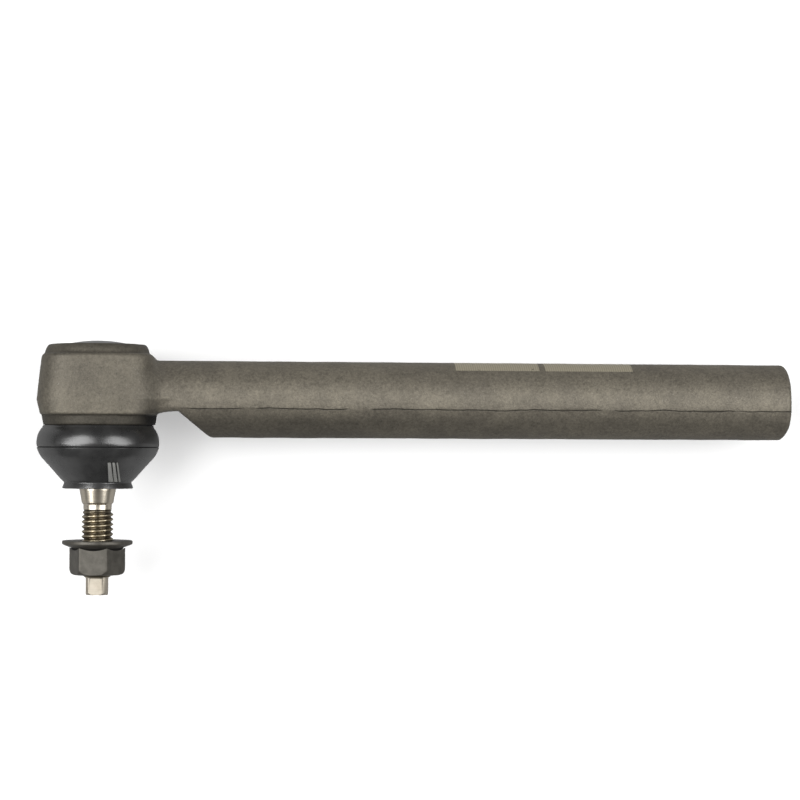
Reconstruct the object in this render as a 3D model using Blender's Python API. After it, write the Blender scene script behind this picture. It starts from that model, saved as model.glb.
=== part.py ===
"""Tie rod end: a forged ball housing with a long shank, and a ball stud that hangs in it.

Blender 4.5. Lengths in the tables below are millimetres and become metres where a mesh is made.
+Z is up. The origin is the centre of the shank's end face, where the threaded socket opens
towards +X. The stud hangs down at the other end. Heights are measured from the shank's axis.
"""

import math

import bmesh
import bpy
from mathutils import Matrix, Vector

MM = 0.001

# Forging: the shank runs along X, the ball housing stands on the stud's axis.
STUD_TO_END = 277.8
SHANK_RADIUS = 15.28
END_CHAMFER = 2.4
NECK_UNDERSIDE = -4.7
NECK_FLAT_END = 31.7
NECK_RAMP_END = 44.9
HOUSING_TOP = 21.4
WIDEST_HALF = 24.0
WIDEST_HEIGHT = -0.6
UPPER_DRAFT = 2.0 / 17.7
LOWER_DRAFT = 1.5 / 5.9
SHELL_FOOT = -6.5
COLLAR_FOOT = -10.5
SPIGOT_FOOT = -13.5
SPIGOT_RADIUS = 17.6
SHELL_SQUARENESS = 3.0
MOUTH_RADIUS = 15.6
THROAT_RADIUS = 13.2
SOCKET_RADIUS = 8.7
SOCKET_DEPTH = 100.0
SOCKET_LEAD = 1.2
DRILL_POINT_DEPTH = 5.0

# Ball joint: everything inside is centred on the ball.
BALL_HEIGHT = 2.0
BALL_RADIUS = 12.5
GAP = 0.3
LINER_WALL = 1.4
RACE_RADIUS = BALL_RADIUS + LINER_WALL + 2 * GAP
BORE_RADIUS = 17.3
FIT_RADIUS = BORE_RADIUS - GAP
BORE_FLOOR = -6.8
SEAT_FOOT = -6.5
CUP_TOP = 17.0
COVER_FLANGE_FOOT = 18.6
COVER_WALL = 1.6
DOME_RADIUS = 29.6
DOME_TOP = 23.0
ROLLED_LIP_RADIUS = 14.8

# Stud: ball, waist, taper, relief, thread and square tip.
WAIST_RADIUS = 6.3
TAPER_TOP = (8.1, -28.0)
TAPER_FOOT = (6.2, -41.5)
RELIEF_RADIUS = 5.6
THREAD_RADIUS = 6.35
THREAD_PITCH = 25.4 / 13
THREAD_DEPTH = 1.15
THREAD_TOP = -44.0
THREAD_FOOT = -70.7
TIP_FOOT = -77.75
TIP_ACROSS_FLATS = 8.4
TIP_CORNER_RADIUS = 5.15
TIP_TURN = math.radians(-4.3)

# Nut and its captive washer.
NUT_BORE_RADIUS = THREAD_RADIUS + GAP
NUT_ACROSS_FLATS = 19.05
NUT_TOP = -59.25
NUT_FOOT = -69.85
NUT_TURN = math.radians(-8.0)
WASHER_TOP = -56.3
WASHER_RADIUS = 13.9

# Boot: its rim sits on the housing's spigot and its lip round the stud.
BOOT_RIM = -10.9
BOOT_FOLD = (24.2, -19.0)
BOOT_WAIST = (13.3, -33.3)
BOOT_LIP_FOOT = -35.6
BOOT_WALL = 2.6

SEGMENTS = 40
HIDDEN_SEGMENTS = 32
FULL_TURN = 2 * math.pi


def material(name, colour, roughness, metallic):
    """A Principled material in the piece's own colour, as linear red, green and blue."""
    made = bpy.data.materials.new(name)
    made.use_nodes = True
    shader = made.node_tree.nodes["Principled BSDF"]
    shader.inputs["Base Color"].default_value = (*colour, 1.0)
    shader.inputs["Roughness"].default_value = roughness
    shader.inputs["Metallic"].default_value = metallic
    return made


def clear_scene():
    for old in list(bpy.data.objects):
        bpy.data.objects.remove(old)


def finish_mesh(name, shape, finish=None):
    """Turns a bmesh into a linked object with outward faces and smooth round sides."""
    bmesh.ops.remove_doubles(shape, verts=shape.verts, dist=1e-7)
    bmesh.ops.dissolve_degenerate(shape, dist=1e-7, edges=shape.edges)
    bmesh.ops.recalc_face_normals(shape, faces=shape.faces)
    mesh = bpy.data.meshes.new(name)
    shape.to_mesh(mesh)
    shape.free()
    mesh.shade_smooth()
    mesh.set_sharp_from_angle(angle=math.radians(35.0))
    made = bpy.data.objects.new(name, mesh)
    bpy.context.scene.collection.objects.link(made)
    if finish is not None:
        mesh.materials.append(finish)
    return made


def loft(rings, closed):
    """A bmesh through rings of points, in millimetres. A closed loft joins its last ring to its first."""
    shape = bmesh.new()
    rows = [[shape.verts.new(Vector(point) * MM) for point in ring] for ring in rings]
    count = len(rows[0])
    pairs = list(zip(rows, rows[1:]))
    if closed:
        pairs.append((rows[-1], rows[0]))
    for below, above in pairs:
        for i in range(count):
            j = (i + 1) % count
            shape.faces.new((below[i], below[j], above[j], above[i]))
    if not closed:
        shape.faces.new(list(reversed(rows[0])))
        shape.faces.new(rows[-1])
    return shape


def circle(radius, height, segments=SEGMENTS):
    """One ring of a turned piece about Z."""
    angles = [FULL_TURN * i / segments for i in range(segments)]
    return [(radius * math.cos(a), radius * math.sin(a), height) for a in angles]


def turned(name, profile, finish=None, closed=False, segments=SEGMENTS):
    """A piece turned about Z from (radius, height) points. A closed profile makes a ring."""
    return finish_mesh(name, loft([circle(r, z, segments) for r, z in profile], closed), finish)


def arc(radius, start, end, steps, centre=BALL_HEIGHT):
    """(radius, height) points on a sphere about the ball's centre, by angle from straight down."""
    angles = [math.radians(start + (end - start) * i / steps) for i in range(steps + 1)]
    return [(radius * math.sin(a), centre - radius * math.cos(a)) for a in angles]


def boolean(target, cutter, operation):
    """Adds an exact Boolean, and keeps the cutter as a hidden guide."""
    step = target.modifiers.new(cutter.name, "BOOLEAN")
    step.operation = operation
    step.solver = "EXACT"
    step.object = cutter
    cutter.hide_render = True
    cutter.display_type = "WIRE"


def place(piece, parent, offset=(0.0, 0.0, 0.0)):
    """Hangs a piece on its parent at an offset in millimetres."""
    piece.parent = parent
    piece.location = Vector(offset) * MM


def housing_radius(height):
    """The shell's half-width at a height: widest at the parting line, with draft both ways."""
    above = height - WIDEST_HEIGHT
    if above >= 0.0:
        return WIDEST_HALF - UPPER_DRAFT * above
    return WIDEST_HALF + LOWER_DRAFT * above


def shell_ring(height, squareness=SHELL_SQUARENESS):
    """A ring of the housing's squarish shell, a superellipse with equal half-widths."""
    half = housing_radius(height)
    ring = []
    for i in range(SEGMENTS):
        angle = FULL_TURN * i / SEGMENTS
        c, s = abs(math.cos(angle)), abs(math.sin(angle))
        reach = half / (c**squareness + s**squareness) ** (1 / squareness)
        ring.append((reach * math.cos(angle), reach * math.sin(angle), height))
    return ring


def housing_blank():
    """The forged ball housing without its cavity: spigot, round collar, shell and top ring."""
    rings = [circle(SPIGOT_RADIUS, SPIGOT_FOOT), circle(SPIGOT_RADIUS, COLLAR_FOOT)]
    rings += [circle(21.6, COLLAR_FOOT), circle(22.3, SHELL_FOOT)]
    rings += [shell_ring(z) for z in (SHELL_FOOT, -3.0, WIDEST_HEIGHT, 6.0, 12.0, 17.1)]
    rings += [circle(21.0, 18.3), circle(20.7, 19.5), circle(19.5, HOUSING_TOP)]
    return finish_mesh("forged_body", loft(rings, False))


def shank_blank():
    """The round shank from inside the housing to its chamfered end, turned about Z and laid along X."""
    start, end = 8.0, STUD_TO_END
    profile = [(SHANK_RADIUS, start), (SHANK_RADIUS, end - END_CHAMFER), (SHANK_RADIUS - END_CHAMFER, end)]
    shank = turned("shank_blank", profile)
    shank.data.transform(Matrix.Rotation(math.radians(90.0), 4, "Y"))
    return shank


def prism(name, outline, half_depth):
    """A prism along Y from an (x, z) outline."""
    rings = [[(x, y, z) for x, z in outline] for y in (-half_depth, half_depth)]
    return finish_mesh(name, loft(rings, False))


def neck_relief():
    """What is cut from under the neck: a flat underside, then a ramp down to the full shank."""
    deep = -20.0
    slope = (SHANK_RADIUS + NECK_UNDERSIDE) / (NECK_RAMP_END - NECK_FLAT_END)
    ramp_foot = NECK_FLAT_END + (NECK_UNDERSIDE - deep) / slope
    outline = [(0.0, deep), (ramp_foot, deep), (NECK_FLAT_END, NECK_UNDERSIDE), (0.0, NECK_UNDERSIDE)]
    return prism("neck_relief", outline, 20.0)


def rim_fillet():
    """The small forged ramp from the housing's rim down on to the neck."""
    outline = [(15.0, 10.0), (27.5, 10.0), (25.3, 15.2), (22.0, 17.0), (20.4, 20.3), (15.0, 20.3)]
    return prism("rim_fillet", outline, 9.0)


def cavity():
    """The turned inside of the housing: the flared mouth, the bearing bore and the rolled lip."""
    lip_foot = COVER_FLANGE_FOOT + COVER_WALL + GAP
    profile = [(MOUTH_RADIUS, SPIGOT_FOOT - 1.0), (MOUTH_RADIUS, SPIGOT_FOOT), (THROAT_RADIUS, BORE_FLOOR)]
    profile += [(BORE_RADIUS, BORE_FLOOR), (BORE_RADIUS, lip_foot)]
    profile += [(ROLLED_LIP_RADIUS, lip_foot), (ROLLED_LIP_RADIUS, HOUSING_TOP + 1.0)]
    return turned("cavity", profile)


def socket():
    """The shank's blind threaded socket, drawn at the thread's minor diameter, with a lead-in."""
    mouth = STUD_TO_END
    profile = [(0.4, mouth - SOCKET_DEPTH - DRILL_POINT_DEPTH), (SOCKET_RADIUS, mouth - SOCKET_DEPTH)]
    profile += [(SOCKET_RADIUS, mouth - SOCKET_LEAD), (SOCKET_RADIUS + SOCKET_LEAD, mouth)]
    profile += [(SOCKET_RADIUS + SOCKET_LEAD, mouth + 1.0)]
    hole = turned("socket", profile, segments=36)
    hole.data.transform(Matrix.Rotation(math.radians(90.0), 4, "Y"))
    return hole


def forged_body(stud_axis, finish):
    """The one-piece forging: housing, neck and shank, with its cavity and its socket cut out."""
    body = housing_blank()
    body.data.materials.append(finish)
    shank = shank_blank()
    boolean(shank, neck_relief(), "DIFFERENCE")
    boolean(body, shank, "UNION")
    boolean(body, rim_fillet(), "UNION")
    boolean(body, cavity(), "DIFFERENCE")
    boolean(body, socket(), "DIFFERENCE")
    for piece in [body] + [step.object for step in [*body.modifiers, *shank.modifiers]]:
        place(piece, stud_axis)


def dome(radius_at, drop):
    """Height of the cover's dome at a radius, below its outer surface by drop."""
    return DOME_TOP - drop - radius_at**2 / (2 * DOME_RADIUS)


def cover_plate(stud_axis, finish):
    """The domed plate that closes the housing, held under the rolled lip."""
    flange_top = COVER_FLANGE_FOOT + COVER_WALL
    steps = (1.0, 4.0, 7.0, 9.5, 11.5)
    under = [(r, dome(r, COVER_WALL)) for r in steps]
    over = [(r, dome(r, 0.0)) for r in reversed(steps)]
    profile = under + [(12.4, COVER_FLANGE_FOOT), (FIT_RADIUS, COVER_FLANGE_FOOT)]
    profile += [(FIT_RADIUS, flange_top), (12.9, flange_top)] + over
    shape = loft([circle(r, z) for r, z in reversed(profile)], False)
    place(finish_mesh("cover_plate", shape, finish), stud_axis)


def cover_seal(stud_axis, finish):
    """The flat ring that seals the cover plate on the pressure cup."""
    inner, foot, top = 15.9, CUP_TOP + GAP, COVER_FLANGE_FOOT - GAP
    profile = [(inner, foot), (FIT_RADIUS, foot), (FIT_RADIUS, top), (inner, top)]
    place(turned("cover_seal", profile, finish, True, HIDDEN_SEGMENTS), stud_axis)


def disc_spring(stud_axis, finish):
    """The coned disc spring that presses the cup on the ball."""
    thick = 0.7
    outer, inner = (15.4, CUP_TOP + GAP), (7.0, 18.4)
    profile = [inner, outer, (outer[0], outer[1] + thick), (inner[0], inner[1] + thick)]
    place(turned("disc_spring", profile, finish, True, HIDDEN_SEGMENTS), stud_axis)


def pressure_cup(stud_axis, finish):
    """The upper bearing: a cup with a spherical face, open at the top for grease."""
    foot, hole = BALL_HEIGHT + GAP, 5.0
    lowest = math.degrees(math.acos(-(foot - BALL_HEIGHT) / RACE_RADIUS))
    highest = 180.0 - math.degrees(math.asin(hole / RACE_RADIUS))
    profile = arc(RACE_RADIUS, lowest, highest, 7) + [(hole, CUP_TOP), (FIT_RADIUS, CUP_TOP)]
    profile += [(FIT_RADIUS, foot)]
    place(turned("pressure_cup", profile, finish, True, HIDDEN_SEGMENTS), stud_axis)


def bearing_seat(stud_axis, finish):
    """The lower bearing: a ring with a spherical face, on the floor of the bore."""
    top = BALL_HEIGHT - GAP
    lowest = math.degrees(math.acos((BALL_HEIGHT - SEAT_FOOT) / RACE_RADIUS))
    highest = math.degrees(math.acos((BALL_HEIGHT - top) / RACE_RADIUS))
    profile = arc(RACE_RADIUS, lowest, highest, 4) + [(FIT_RADIUS, top), (FIT_RADIUS, SEAT_FOOT)]
    place(turned("bearing_seat", profile, finish, True, HIDDEN_SEGMENTS), stud_axis)


def ball_liner(ball_centre, finish):
    """The slotted polymer shell round the ball, which swings with it."""
    inner, outer = BALL_RADIUS + GAP, BALL_RADIUS + GAP + LINER_WALL
    lowest, highest, slots = 54.0, 150.0, 4
    profile = arc(outer, lowest, highest, 6, 0.0) + arc(inner, highest, lowest, 6, 0.0)
    liner = turned("ball_liner", profile, finish, True, HIDDEN_SEGMENTS)
    place(liner, ball_centre)
    for i in range(slots):
        slot = prism(f"liner_slot_{i + 1}", [(8.0, -14.0), (16.0, -14.0), (16.0, -1.0), (8.0, -1.0)], 0.8)
        slot.rotation_euler.z = FULL_TURN * (i + 0.5) / slots
        place(slot, ball_centre)
        boolean(liner, slot, "DIFFERENCE")


def thread_rings(columns):
    """Rings of the stud's thread. Each ring follows the helix, so the flanks stay straight.

    The ridge fades in and out over one pitch at both ends, and heights stop at the ends.
    """
    steps = (0.0, 0.19, 0.5, 0.69)
    root = THREAD_RADIUS - THREAD_DEPTH
    turns = int((THREAD_TOP - THREAD_FOOT) / THREAD_PITCH) + 2
    rings = []
    for turn in range(-1, turns):
        for k, step in enumerate(steps):
            ridge = THREAD_DEPTH if k < 2 else 0.0
            ring = []
            for i in range(columns):
                angle = FULL_TURN * i / columns
                height = THREAD_FOOT + THREAD_PITCH * (turn + step + i / columns)
                height = min(max(height, THREAD_FOOT), THREAD_TOP)
                room = min(height - THREAD_FOOT, THREAD_TOP - height) / THREAD_PITCH
                radius = root + ridge * min(max(room, 0.0), 1.0)
                ring.append((radius * math.cos(angle), radius * math.sin(angle), height))
            rings.append(ring)
    return rings


def helical_loft(rings):
    """A closed loft whose rings are one helix: each ring's last point meets the next turn's first."""
    shape = bmesh.new()
    rows = [[shape.verts.new(Vector(point) * MM) for point in ring] for ring in rings]
    count = len(rows[0])
    per_turn = 4
    last = len(rows) - 1
    for k, (below, above) in enumerate(zip(rows, rows[1:])):
        for i in range(count - 1):
            shape.faces.new((below[i], below[i + 1], above[i + 1], above[i]))
        if k + per_turn + 1 <= last:
            shape.faces.new((below[-1], rows[k + per_turn][0], rows[k + per_turn + 1][0], above[-1]))
    bmesh.ops.remove_doubles(shape, verts=shape.verts, dist=1e-7)
    return shape


def stud_thread(columns=16):
    """The threaded length as a closed body, its ends capped at the thread's root radius."""
    shape = helical_loft(thread_rings(columns))
    bmesh.ops.dissolve_degenerate(shape, dist=1e-7, edges=shape.edges)
    loose = [face for face in shape.faces if face.calc_area() < 1e-14]
    bmesh.ops.delete(shape, geom=loose, context="FACES")
    bmesh.ops.holes_fill(shape, edges=[e for e in shape.edges if e.is_boundary], sides=0)
    return finish_mesh("thread_blank", shape)


def square_tip():
    """The square end that a wrench holds, its corners turned round and its end chamfered."""
    half, chamfer, corner_steps = TIP_ACROSS_FLATS / 2, 0.7, 3
    reach = math.acos(half / TIP_CORNER_RADIUS)

    def outline(height, shrink):
        ring = []
        for quarter in range(4):
            middle = TIP_TURN + math.pi / 4 + quarter * math.pi / 2
            spread = math.pi / 4 - reach
            for i in range(corner_steps + 1):
                angle = middle - spread + 2 * spread * i / corner_steps
                radius = TIP_CORNER_RADIUS * shrink
                ring.append((radius * math.cos(angle), radius * math.sin(angle), height))
        return ring

    rings = [outline(TIP_FOOT, 0.87), outline(TIP_FOOT + chamfer, 1.0), outline(THREAD_FOOT + 2.0, 1.0)]
    return finish_mesh("tip_blank", loft(rings, False))


def ball_stud(ball_centre, finish):
    """The forged and ground stud: ball, waist, taper, relief, thread and square tip in one piece."""
    neck_angle = math.degrees(math.asin(WAIST_RADIUS / BALL_RADIUS))
    top_angle = math.degrees(math.asin(5.5 / BALL_RADIUS))
    core = THREAD_RADIUS - THREAD_DEPTH - 0.2
    profile = [(core, THREAD_FOOT + 1.0), (core, THREAD_TOP - 1.0), (RELIEF_RADIUS, THREAD_TOP + 0.1)]
    profile += [(RELIEF_RADIUS, TAPER_FOOT[1] - 0.2), TAPER_FOOT, (7.15, -36.3), TAPER_TOP]
    profile += [(7.6, -26.5), (6.7, -23.0), (WAIST_RADIUS, -18.0)]
    profile += arc(BALL_RADIUS, neck_angle, 180.0 - top_angle, 10)
    stud = turned("ball_stud", profile, finish, segments=HIDDEN_SEGMENTS)
    thread = stud_thread()
    tip = square_tip()
    boolean(stud, thread, "UNION")
    boolean(stud, tip, "UNION")
    for piece in (stud, thread, tip):
        place(piece, ball_centre, (0.0, 0.0, -BALL_HEIGHT))


def dust_boot(stud_axis, finish):
    """The rubber boot: rim on the spigot, a bulge with a fold line, a cone and a flared lip."""
    radius, height = BOOT_FOLD
    lip = [(BOOT_WAIST[0] + 0.75, BOOT_LIP_FOOT), BOOT_WAIST]
    cone = [(15.8, -30.9), (17.6, -28.9), (19.1, -26.9), (20.8, -24.9), (22.3, -22.6), (23.3, -20.6)]
    bulge = [(radius - 0.2, height - 0.4), BOOT_FOLD, (23.7, -16.9), (23.1, -14.9), (22.4, -12.9)]
    outer = lip + cone + bulge + [(21.7, BOOT_RIM)]
    inner = [(19.2, BOOT_RIM), (19.2, -13.6), (20.4, -14.6), (21.2, -16.9), (radius - BOOT_WALL, height)]
    inner += [(20.6, -21.2), (18.6, -24.2), (15.6, -27.9), (13.0, -30.9), (11.4, -32.6), (8.1, -33.0)]
    inner += [(8.1, BOOT_LIP_FOOT)]
    place(turned("dust_boot", outer + inner, finish, closed=True), stud_axis)


def square_ring(name, inner, outer, foot, top, parent, finish):
    """A plain ring of rectangular section. Heights are from the shank's axis."""
    drop = parent.location.z / MM
    profile = [(inner, foot - drop), (outer, foot - drop), (outer, top - drop), (inner, top - drop)]
    place(turned(name, profile, finish, True, HIDDEN_SEGMENTS), parent)


def nut_washer(ball_centre, finish):
    """The captive conical washer under the nut's clamping face."""
    inner = NUT_BORE_RADIUS + 0.2
    hub, drops = 8.4, (0.3, 1.4, 2.5, 3.1, 3.9)
    edge_top, edge_foot, cone, shoulder, foot = (WASHER_TOP - drop for drop in drops)
    profile = [(inner, WASHER_TOP), (inner, foot), (hub, foot), (hub + 0.2, shoulder), (11.3, cone)]
    profile += [(WASHER_RADIUS, edge_foot), (WASHER_RADIUS, edge_top), (WASHER_RADIUS - 0.3, WASHER_TOP)]
    washer = turned("nut_washer", profile, finish, closed=True)
    place(washer, ball_centre, (0.0, 0.0, -BALL_HEIGHT))


def hex_nut(ball_centre, finish):
    """The hexagon nut: its ends are turned, the upper one to a shallow countersink."""
    corner = NUT_ACROSS_FLATS / math.sqrt(3)
    hexagon = circle(corner, 0.0, segments=6)
    rings = [[(x, y, z) for x, y, _ in hexagon] for z in (NUT_FOOT - 1.0, NUT_TOP + 1.0)]
    nut = finish_mesh("hex_nut", loft(rings, False), finish)
    bore, recess = NUT_BORE_RADIUS, NUT_TOP - 1.25
    profile = [(bore + 0.9, NUT_FOOT), (9.4, NUT_FOOT), (10.0, NUT_FOOT + 0.5)]
    profile += [(corner + 0.2, NUT_FOOT + 2.0)]
    profile += [(corner + 0.2, NUT_TOP), (9.2, recess), (bore + 0.5, recess), (bore, recess - 0.5)]
    profile += [(bore, NUT_FOOT + 0.9)]
    turned_form = turned("nut_form", profile, closed=True, segments=36)
    boolean(nut, turned_form, "INTERSECT")
    for piece in (nut, turned_form):
        place(piece, ball_centre, (0.0, 0.0, -BALL_HEIGHT))
    nut.rotation_euler.z = NUT_TURN


def main():
    clear_scene()
    stud_axis = bpy.data.objects.new("stud_axis", None)
    ball_centre = bpy.data.objects.new("ball_centre", None)
    for empty, height in ((stud_axis, 0.0), (ball_centre, BALL_HEIGHT)):
        bpy.context.scene.collection.objects.link(empty)
        empty.location = (-STUD_TO_END * MM, 0.0, height * MM)

    forging = material("forged_steel", (0.19, 0.175, 0.15), 0.55, 0.7)
    plate = material("cover_steel", (0.25, 0.25, 0.25), 0.4, 0.9)
    spring = material("spring_steel", (0.3, 0.29, 0.28), 0.35, 1.0)
    race = material("sintered_steel", (0.34, 0.33, 0.32), 0.5, 1.0)
    polymer = material("liner_polymer", (0.75, 0.72, 0.62), 0.45, 0.0)
    bright = material("stud_steel", (0.68, 0.64, 0.57), 0.28, 1.0)
    rubber = material("boot_rubber", (0.03, 0.03, 0.032), 0.45, 0.0)
    phosphate = material("nut_phosphate", (0.15, 0.14, 0.12), 0.5, 0.6)

    forged_body(stud_axis, forging)
    cover_plate(stud_axis, plate)
    cover_seal(stud_axis, rubber)
    disc_spring(stud_axis, spring)
    pressure_cup(stud_axis, race)
    bearing_seat(stud_axis, race)
    ball_liner(ball_centre, polymer)
    ball_stud(ball_centre, bright)
    dust_boot(stud_axis, rubber)
    square_ring("boot_rim_ring", 17.9, 18.9, -13.3, BOOT_RIM, stud_axis, spring)
    square_ring("boot_lip_ring", 9.0, 10.2, -32.6, -31.4, ball_centre, spring)
    nut_washer(ball_centre, phosphate)
    hex_nut(ball_centre, phosphate)


main()
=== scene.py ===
"""Looks of a tie rod end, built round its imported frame.

The forging, cover, boot, stud, washer and nut are finer surfaces that stand for the plain solids;
the bearing pieces inside keep their solids and get finishes. Lengths are millimetres, and become
metres where a mesh is made. Heights are measured from the shank's axis, reaches from the stud's.
"""

import logging
import math
from collections.abc import Sequence
from dataclasses import dataclass, field
from enum import Enum

import bpy
import numpy as np
from mathutils import Matrix, Vector


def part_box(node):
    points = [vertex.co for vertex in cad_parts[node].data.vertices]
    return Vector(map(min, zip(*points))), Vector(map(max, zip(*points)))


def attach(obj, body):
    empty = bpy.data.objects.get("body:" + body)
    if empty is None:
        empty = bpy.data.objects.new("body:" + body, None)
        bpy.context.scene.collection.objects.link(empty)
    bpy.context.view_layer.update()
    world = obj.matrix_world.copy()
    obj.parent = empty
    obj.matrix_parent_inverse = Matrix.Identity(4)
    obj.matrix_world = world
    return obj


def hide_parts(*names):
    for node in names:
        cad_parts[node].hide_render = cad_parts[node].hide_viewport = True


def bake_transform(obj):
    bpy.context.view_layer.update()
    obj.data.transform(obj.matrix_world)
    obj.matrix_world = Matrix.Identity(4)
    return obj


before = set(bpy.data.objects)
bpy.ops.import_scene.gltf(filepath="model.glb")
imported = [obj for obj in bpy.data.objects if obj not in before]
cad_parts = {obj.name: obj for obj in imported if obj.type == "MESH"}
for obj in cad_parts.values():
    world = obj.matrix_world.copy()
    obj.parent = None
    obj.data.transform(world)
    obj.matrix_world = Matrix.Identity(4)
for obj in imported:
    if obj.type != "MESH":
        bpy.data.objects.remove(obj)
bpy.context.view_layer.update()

LOG = logging.getLogger("tie_rod_end")
MM = 0.001
FULL_TURN = 2.0 * math.pi

Colour = tuple[float, float, float]
Span = tuple[float, float]
Corner = tuple[float, float, float]
Levels = tuple[float, ...]


class Body(Enum):
    """The rigid bodies that pieces ride on."""

    HOUSING = "housing"
    LINER = "liner"
    BOOT_LIP = "boot_lip"
    STUD = "stud"
    WASHER = "washer"
    NUT = "nut"


class Slot(Enum):
    """The material slots that the new pieces are listed with."""

    FORGED = "forged_steel"
    COVER = "cover_steel"
    STUD = "stud_steel"
    RUBBER = "boot_rubber"
    PHOSPHATE = "nut_phosphate"


def node_centre(node: str) -> Vector:
    """Returns the middle of a frame node's box, in millimetres."""
    low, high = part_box(node)
    return (low + high) / 2 / MM


STUD_X = node_centre("ball_liner").x
END_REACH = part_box("forged_body")[1].x / MM - STUD_X


# ---- Mesh tools ----


def linked(name: str, data: bpy.types.ID) -> bpy.types.Object:
    """Makes an object from a mesh, light or camera and links it to the scene."""
    made = bpy.data.objects.new(name, data)
    bpy.context.scene.collection.objects.link(made)
    return made


def link_mesh(name: str, points: np.ndarray, faces: list[np.ndarray], sharp_deg: float) -> bpy.types.Object:
    """Puts points and faces into a linked mesh object with its faces turned outwards.

    The signed volume is the sum over fan triangles of a . (b x c) / 6; if it is negative, every
    face is reversed.

    Args:
        name: The piece's name.
        points: (n, 3) places in millimetres, in the row frame.
        faces: Arrays of triangles or quads, as vertex numbers.
        sharp_deg: Edges that turn by more than this stay sharp.

    Returns:
        The object, at the origin, with its place in its mesh.
    """
    volume = 0.0
    for block in faces:
        for last in range(2, block.shape[1]):
            a, b, c = (points[block[:, i]] for i in (0, last - 1, last))
            volume += float(np.einsum("ij,ij->i", a, np.cross(b, c)).sum())
    if volume < 0:
        faces = [block[:, ::-1] for block in faces]
    mesh = bpy.data.meshes.new(name)
    mesh.from_pydata((points * MM).tolist(), [], [row for block in faces for row in block.tolist()])
    mesh.update()
    mesh.shade_smooth()
    mesh.set_sharp_from_angle(angle=math.radians(sharp_deg))
    return linked(name, mesh)


def grid_faces(rows: int, columns: int, loop: bool) -> list[np.ndarray]:
    """Quads of a grid whose columns close on themselves.

    Args:
        rows: How many rings the grid has.
        columns: How many points each ring has.
        loop: True joins the last ring to the first; False closes both ends with a fan to a pole,
            the two points after the grid's own.

    Returns:
        The grid's quads, with the two fans of triangles where it isn't a loop.
    """
    count = rows if loop else rows - 1
    i, j = np.meshgrid(np.arange(count), np.arange(columns), indexing="ij")
    up, right = (i + 1) % rows, (j + 1) % columns
    quads = np.stack([i * columns + j, i * columns + right, up * columns + right, up * columns + j], -1)
    blocks = [quads.reshape(-1, 4)]
    if not loop:
        j = np.arange(columns)
        right = (j + 1) % columns
        last = (rows - 1) * columns
        first_pole = np.full(columns, rows * columns)
        blocks.append(np.stack([right, j, first_pole], -1))
        blocks.append(np.stack([last + j, last + right, first_pole + 1], -1))
    return blocks


def skin(name: str, grid: np.ndarray, loop: bool, sharp_deg: float = 32.0) -> bpy.types.Object:
    """Makes a closed piece from a (rows, columns, 3) grid whose columns run round it.

    Args:
        name: The piece's name.
        grid: Places in millimetres.
        loop: True for a ring, whose rows close too; False for a piece with two poles.
        sharp_deg: Edges that turn by more than this stay sharp.

    Returns:
        The object.
    """
    rows, columns = grid.shape[:2]
    points = grid.reshape(-1, 3)
    if not loop:
        points = np.vstack([points, grid[0].mean(0), grid[-1].mean(0)])
    return link_mesh(name, points, grid_faces(rows, columns, loop), sharp_deg)


def turn_angles(columns: int, start: float = 0.0) -> np.ndarray:
    """Evenly spaced angles once round, from start, in radians."""
    return start + FULL_TURN * np.arange(columns) / columns


def about_stud(radius: np.ndarray, height: np.ndarray, angle: np.ndarray) -> np.ndarray:
    """Places from cylindrical coordinates about the stud's axis: x = axis + r cos a, y = r sin a."""
    radius, height, angle = np.broadcast_arrays(radius, height, angle)
    return np.stack([STUD_X + radius * np.cos(angle), radius * np.sin(angle), height], -1)


def turned(
    name: str, outline: np.ndarray, loop: bool, columns: int = 128, sharp_deg: float = 32.0
) -> bpy.types.Object:
    """A piece turned about the stud's axis from an outline of (radius, height) rows."""
    grid = about_stud(outline[:, :1], outline[:, 1:], turn_angles(columns)[None])
    return skin(name, grid, loop, sharp_deg)


def rounded_outline(
    corners: Sequence[Corner], steps: int = 5, closed: bool = True
) -> np.ndarray:
    """An outline of straight sides with round corners.

    At each corner an arc touches both sides: its ends lie fillet / tan(half angle) from the
    corner, at most 0.48 of the shorter side, and its middle is on the corner's bisector.

    Args:
        corners: (radius, height, fillet) of each corner, in order.
        steps: Pieces in each arc.
        closed: Whether the last corner joins the first; open outlines keep their two ends.

    Returns:
        (n, 2) points of the outline.
    """
    places = np.array([c[:2] for c in corners], float)
    made: list[np.ndarray] = []
    for i, (place, corner) in enumerate(zip(places, corners)):
        at_end = not closed and i in (0, len(places) - 1)
        if corner[2] <= 0 or at_end:
            made.append(place[None])
            continue
        before, after = places[i - 1] - place, places[(i + 1) % len(places)] - place
        room = 0.48 * min(np.linalg.norm(before), np.linalg.norm(after))
        a, b = before / np.linalg.norm(before), after / np.linalg.norm(after)
        half = math.acos(float(np.clip(a @ b, -1, 1))) / 2
        length = min(corner[2] / math.tan(half), room)
        radius = length * math.tan(half)
        middle = place + (a + b) / np.linalg.norm(a + b) * radius / math.sin(half)
        start, end = place + a * length - middle, place + b * length - middle
        share = np.linspace(0, 1, steps + 1)[:, None]
        sweep = math.pi - 2 * half
        arc = (np.sin((1 - share) * sweep) * start + np.sin(share * sweep) * end) / math.sin(sweep)
        made.append(middle + arc)
    return np.vstack(made)


def refined(outline: np.ndarray, step: float) -> np.ndarray:
    """The same outline with points added so that no two are further apart than step."""
    made = [outline[:1]]
    for start, end in zip(outline, outline[1:]):
        count = max(1, math.ceil(float(np.linalg.norm(end - start)) / step))
        made.append(start + (end - start) * (np.arange(1, count + 1) / count)[:, None])
    return np.vstack(made)


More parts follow.
